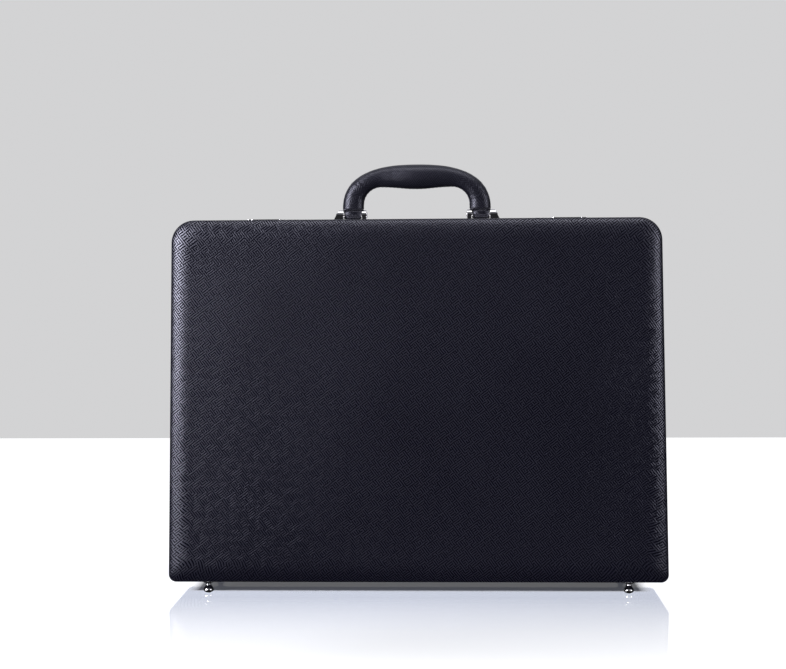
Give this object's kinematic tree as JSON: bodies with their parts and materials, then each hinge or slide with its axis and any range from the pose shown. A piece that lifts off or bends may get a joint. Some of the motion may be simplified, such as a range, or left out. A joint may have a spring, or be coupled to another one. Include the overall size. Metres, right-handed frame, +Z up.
{
  "type": "attache case",
  "caption": "Hard attache case in black grained leather with a folding arched handle, combination latches in its top, piano hinge, lid stays and a lined interior with a folio.",
  "frame": {"origin": "on the floor under the middle of the closed, standing case", "axes": "+X along the width to the right seen from the front, -Y out of the front face of the lid, +Z up"},
  "size_m": [0.4498, 0.104, 0.3897],
  "materials": {
    "case_leather": "fine crossed grain, semi-matt, blue-black",
    "handle_leather": "fine grain, polished, blue-black",
    "shell_board": "moulded shell board",
    "foam": "thin foam sheet",
    "lining_cloth": "brushed lining cloth",
    "frame_aluminium": "satin anodised extrusion",
    "chrome": "bright plated",
    "steel": "plated pressed steel",
    "black_steel": "black lacquer on steel",
    "folio_leather": "smooth thin leather",
    "wheel_plastic": "moulded number wheel"
  },
  "bodies": {
    "base": {"base_cover": "case_leather", "base_foot_left": "chrome", "base_foot_right": "chrome", "base_foot_screws": "steel", "base_frame": "frame_aluminium", "base_hinge_leaf": "steel", "base_hinge_rivets": "steel", "base_lining": "lining_cloth", "base_padding": "foam", "base_shell": "shell_board", "bracket_rivets": "chrome", "guide_screws": "steel", "handle_bracket_left": "chrome", "handle_bracket_right": "chrome", "handle_pin_left": "chrome", "handle_pin_right": "chrome", "hasp_pins": "steel", "hinge_pin": "steel", "latch_springs": "steel", "lock_body_left": "steel", "lock_body_right": "steel", "lock_plate_left": "chrome", "lock_plate_right": "chrome", "lock_rivets": "chrome", "stay_guide_left": "black_steel", "stay_guide_right": "black_steel", "wheel_axle_left": "steel", "wheel_axle_right": "steel"},
    "lid": {"card_pockets": "folio_leather", "file_pocket": "folio_leather", "lid_cover": "case_leather", "lid_foot_left": "chrome", "lid_foot_right": "chrome", "lid_foot_screws": "steel", "lid_frame": "frame_aluminium", "lid_hinge_leaf": "steel", "lid_hinge_rivets": "steel", "lid_lining": "lining_cloth", "lid_padding": "foam", "lid_shell": "shell_board", "pen_loops": "folio_leather", "stay_bracket_left": "black_steel", "stay_bracket_right": "black_steel", "strike_plate_left": "chrome", "strike_plate_right": "chrome", "strike_rivets": "chrome"},
    "handle": {"handle_core": "steel", "handle_grip": "handle_leather"},
    "hasp_left": {"hasp_left": "chrome"},
    "hasp_right": {"hasp_right": "chrome"},
    "number_wheel_left_1": {"number_wheel_left_1": "wheel_plastic"},
    "number_wheel_left_2": {"number_wheel_left_2": "wheel_plastic"},
    "number_wheel_left_3": {"number_wheel_left_3": "wheel_plastic"},
    "number_wheel_right_1": {"number_wheel_right_1": "wheel_plastic"},
    "number_wheel_right_2": {"number_wheel_right_2": "wheel_plastic"},
    "number_wheel_right_3": {"number_wheel_right_3": "wheel_plastic"},
    "slide_button_left": {"slide_button_left": "chrome"},
    "slide_button_right": {"slide_button_right": "chrome"},
    "stay_arm_left": {"stay_arm_left": "black_steel"},
    "stay_arm_right": {"stay_arm_right": "black_steel"}
  },
  "joints": [
    {"name": "lid_open", "type": "hinge", "parent": "base", "child": "lid", "pos_m": [0, -0.01, 0.0082], "axis": [1, 0, 0], "range_deg": [0, 95]},
    {"name": "handle_fold", "type": "hinge", "parent": "base", "child": "handle", "pos_m": [0, 0.008, 0.343], "axis": [1, 0, 0], "range_deg": [-70, 70]},
    {"name": "stay_swing_left", "type": "hinge", "parent": "lid", "child": "stay_arm_left", "pos_m": [-0.209, -0.022, 0.0562], "axis": [1, 0, 0], "range_deg": [-111, 0]},
    {"name": "latch_slide_left", "type": "slide", "parent": "base", "child": "slide_button_left", "axis": [-1, 0, 0], "range_m": [0, 0.004], "stiffness_N_per_m": 220, "springref_m": -0.002},
    {"name": "hasp_lift_left", "type": "hinge", "parent": "base", "child": "hasp_left", "pos_m": [-0.1365, 0.005, 0.336], "axis": [-1, 0, 0], "range_deg": [0, 61]},
    {"name": "wheel_left_1_turn", "type": "hinge", "parent": "base", "child": "number_wheel_left_1", "pos_m": [-0.1116, 0.0061, 0.3332], "axis": [1, 0, 0], "continuous": true},
    {"name": "wheel_left_2_turn", "type": "hinge", "parent": "base", "child": "number_wheel_left_2", "pos_m": [-0.1178, 0.0061, 0.3332], "axis": [1, 0, 0], "continuous": true},
    {"name": "wheel_left_3_turn", "type": "hinge", "parent": "base", "child": "number_wheel_left_3", "pos_m": [-0.124, 0.0061, 0.3332], "axis": [1, 0, 0], "continuous": true},
    {"name": "stay_swing_right", "type": "hinge", "parent": "lid", "child": "stay_arm_right", "pos_m": [0.209, -0.022, 0.0562], "axis": [1, 0, 0], "range_deg": [-111, 0]},
    {"name": "latch_slide_right", "type": "slide", "parent": "base", "child": "slide_button_right", "axis": [1, 0, 0], "range_m": [0, 0.004], "stiffness_N_per_m": 220, "springref_m": -0.002},
    {"name": "hasp_lift_right", "type": "hinge", "parent": "base", "child": "hasp_right", "pos_m": [0.1365, 0.005, 0.336], "axis": [-1, 0, 0], "range_deg": [0, 61]},
    {"name": "wheel_right_1_turn", "type": "hinge", "parent": "base", "child": "number_wheel_right_1", "pos_m": [0.1116, 0.0061, 0.3332], "axis": [1, 0, 0], "continuous": true},
    {"name": "wheel_right_2_turn", "type": "hinge", "parent": "base", "child": "number_wheel_right_2", "pos_m": [0.1178, 0.0061, 0.3332], "axis": [1, 0, 0], "continuous": true},
    {"name": "wheel_right_3_turn", "type": "hinge", "parent": "base", "child": "number_wheel_right_3", "pos_m": [0.124, 0.0061, 0.3332], "axis": [1, 0, 0], "continuous": true}
  ],
  "couplings": [
    {"joint": "stay_swing_left", "follows": "lid_open", "ratio": -1.16},
    {"joint": "hasp_lift_left", "follows": "latch_slide_left", "rad_per_m": 261.8},
    {"joint": "stay_swing_right", "follows": "lid_open", "ratio": -1.16},
    {"joint": "hasp_lift_right", "follows": "latch_slide_right", "rad_per_m": 261.8}
  ]
}
